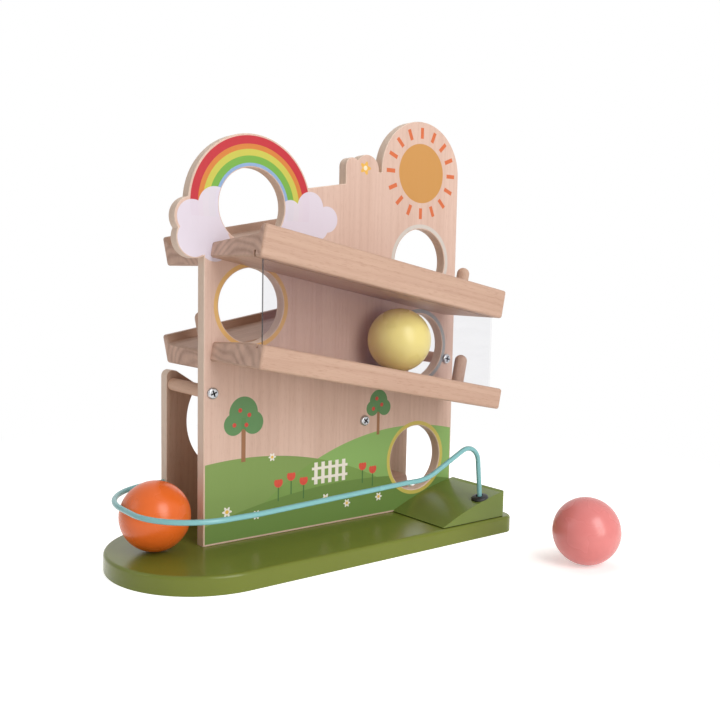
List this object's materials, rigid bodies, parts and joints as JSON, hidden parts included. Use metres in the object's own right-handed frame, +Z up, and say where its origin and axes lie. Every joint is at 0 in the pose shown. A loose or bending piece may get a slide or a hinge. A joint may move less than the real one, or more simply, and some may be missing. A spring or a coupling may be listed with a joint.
{
  "type": "ball track toy",
  "caption": "Wooden ball track toy: sloping ramps on both sides of an upright panel with round ball holes, a clear window, an outlet wedge and a wire guard on a green board.",
  "frame": {"origin": "centre of the base board's underside", "axes": "+X along the panel towards the sun head and the wedge, -Y towards the front with the window and the wire guard, +Z up"},
  "size_m": [0.3395, 0.2669, 0.35],
  "materials": {
    "bare_wood": "clear satin lacquer",
    "printed_wood": "printed, clear satin lacquer",
    "olive_paint": "gloss paint",
    "clear_sheet": "clear polished",
    "zinc": "zinc plated",
    "blue_wire": "gloss paint",
    "black_plastic": "moulded",
    "orange_paint": "gloss paint",
    "yellow_paint": "gloss paint",
    "pink_paint": "gloss paint"
  },
  "bodies": {
    "toy": {"base_board": "olive_paint", "centre_panel": "printed_wood", "back_panel": "bare_wood", "front_upper_ramp": "bare_wood", "front_lower_ramp": "bare_wood", "back_upper_ramp": "bare_wood", "back_lower_ramp": "bare_wood", "front_upper_peg": "bare_wood", "front_lower_peg": "bare_wood", "back_upper_peg": "bare_wood", "back_lower_peg": "bare_wood", "front_upper_pins": "bare_wood", "front_lower_pins": "bare_wood", "back_upper_pins": "bare_wood", "back_lower_pins": "bare_wood", "front_window": "clear_sheet", "left_spacer": "bare_wood", "middle_spacer": "bare_wood", "right_spacer": "bare_wood", "front_spacer_screws": "zinc", "back_spacer_screws": "zinc", "outlet_wedge": "olive_paint", "rear_chute": "bare_wood", "wire_guard": "blue_wire", "wire_grommet": "black_plastic", "centre_panel_screws": "zinc", "back_panel_screws": "zinc", "wedge_screws": "zinc", "chute_screws": "zinc"},
    "orange": {"orange_ball": "orange_paint"},
    "yellow": {"yellow_ball": "yellow_paint"},
    "pink": {"pink_ball": "pink_paint"}
  },
  "joints": [
    {"name": "orange_roll", "type": "hinge", "parent": "toy", "child": "orange", "pos_m": [-0.1005, -0.0011, 0.0403], "axis": [0, 0, 1], "range_deg": [-71, 103]},
    {"name": "yellow_roll", "type": "slide", "parent": "toy", "child": "yellow", "axis": [0.9823, 0, -0.1874], "range_m": [-0.123, 0.033]},
    {"name": "pink_roll", "type": "slide", "parent": "toy", "child": "pink", "axis": [1, 0, 0], "range_m": [-0.2, 0.1]}
  ]
}
